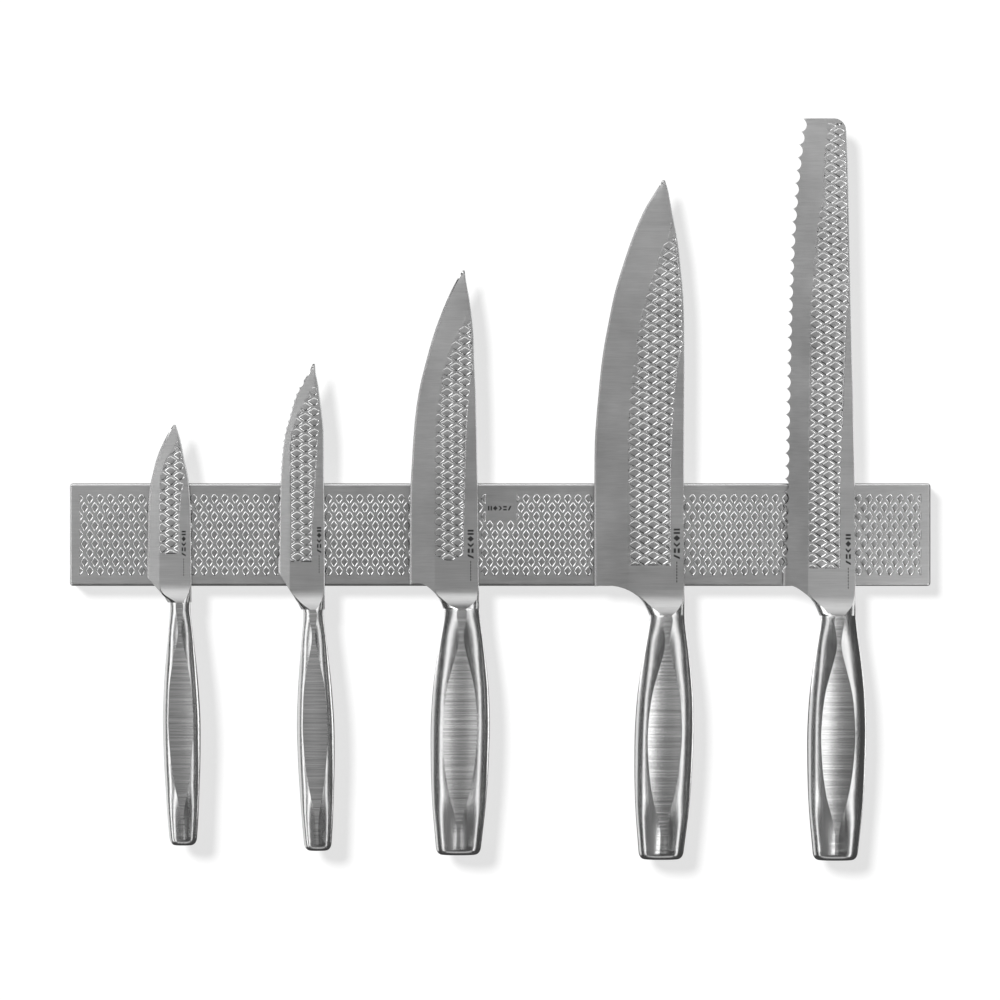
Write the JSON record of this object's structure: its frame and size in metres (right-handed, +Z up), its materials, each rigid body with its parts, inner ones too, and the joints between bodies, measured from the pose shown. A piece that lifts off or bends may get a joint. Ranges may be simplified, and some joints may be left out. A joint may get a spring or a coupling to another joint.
{
  "type": "magnetic knife rack",
  "caption": "Wall-mounted magnetic rail with a diamond-embossed stainless front, holding matching all-steel kitchen knives that lift off forwards.",
  "frame": {"origin": "middle of the rail's back, on the wall", "axes": "+X along the rail, to the viewer's right; +Y into the wall; +Z up"},
  "size_m": [0.42, 0.0242, 0.3612],
  "materials": {
    "cover_steel": "satin, embossed with raised diamonds",
    "blade_steel": "fine cross-brushed",
    "handle_steel": "satin polished with a brushed facet",
    "core_filling": "packed filling",
    "black_plastic": "fine grained",
    "plated_steel": "zinc plated",
    "screw_steel": "dark plated",
    "ferrite": "sintered ferrite"
  },
  "bodies": {
    "rack": {"rail_cover": "cover_steel", "back_plate": "black_plastic", "magnet_tray": "black_plastic", "steel_keeper": "plated_steel", "pole_strip_upper": "plated_steel", "pole_strip_lower": "plated_steel", "keyhole_plate_left": "plated_steel", "keyhole_plate_right": "plated_steel", "rivets": "plated_steel", "case_screws": "screw_steel", "magnet_01": "ferrite", "magnet_02": "ferrite", "magnet_03": "ferrite", "magnet_04": "ferrite", "magnet_05": "ferrite", "magnet_06": "ferrite", "magnet_07": "ferrite", "magnet_08": "ferrite", "magnet_09": "ferrite", "magnet_10": "ferrite", "magnet_11": "ferrite", "magnet_12": "ferrite"},
    "paring_knife": {"paring_blade": "blade_steel", "paring_handle_front": "handle_steel", "paring_handle_back": "handle_steel", "paring_handle_core": "core_filling", "paring_butt_cap": "handle_steel"},
    "tomato_knife": {"tomato_blade": "blade_steel", "tomato_handle_front": "handle_steel", "tomato_handle_back": "handle_steel", "tomato_handle_core": "core_filling", "tomato_butt_cap": "handle_steel"},
    "utility_knife": {"utility_blade": "blade_steel", "utility_handle_front": "handle_steel", "utility_handle_back": "handle_steel", "utility_handle_core": "core_filling", "utility_butt_cap": "handle_steel"},
    "chef_knife": {"chef_blade": "blade_steel", "chef_handle_front": "handle_steel", "chef_handle_back": "handle_steel", "chef_handle_core": "core_filling", "chef_butt_cap": "handle_steel"},
    "bread_knife": {"bread_blade": "blade_steel", "bread_handle_front": "handle_steel", "bread_handle_back": "handle_steel", "bread_handle_core": "core_filling", "bread_butt_cap": "handle_steel"}
  },
  "joints": [
    {"name": "paring_lift_off", "type": "slide", "parent": "rack", "child": "paring_knife", "axis": [0, -1, 0], "range_m": [0, 0.06]},
    {"name": "tomato_lift_off", "type": "slide", "parent": "rack", "child": "tomato_knife", "axis": [0, -1, 0], "range_m": [0, 0.06]},
    {"name": "utility_lift_off", "type": "slide", "parent": "rack", "child": "utility_knife", "axis": [0, -1, 0], "range_m": [0, 0.06]},
    {"name": "chef_lift_off", "type": "slide", "parent": "rack", "child": "chef_knife", "axis": [0, -1, 0], "range_m": [0, 0.06]},
    {"name": "bread_lift_off", "type": "slide", "parent": "rack", "child": "bread_knife", "axis": [0, -1, 0], "range_m": [0, 0.06]}
  ]
}
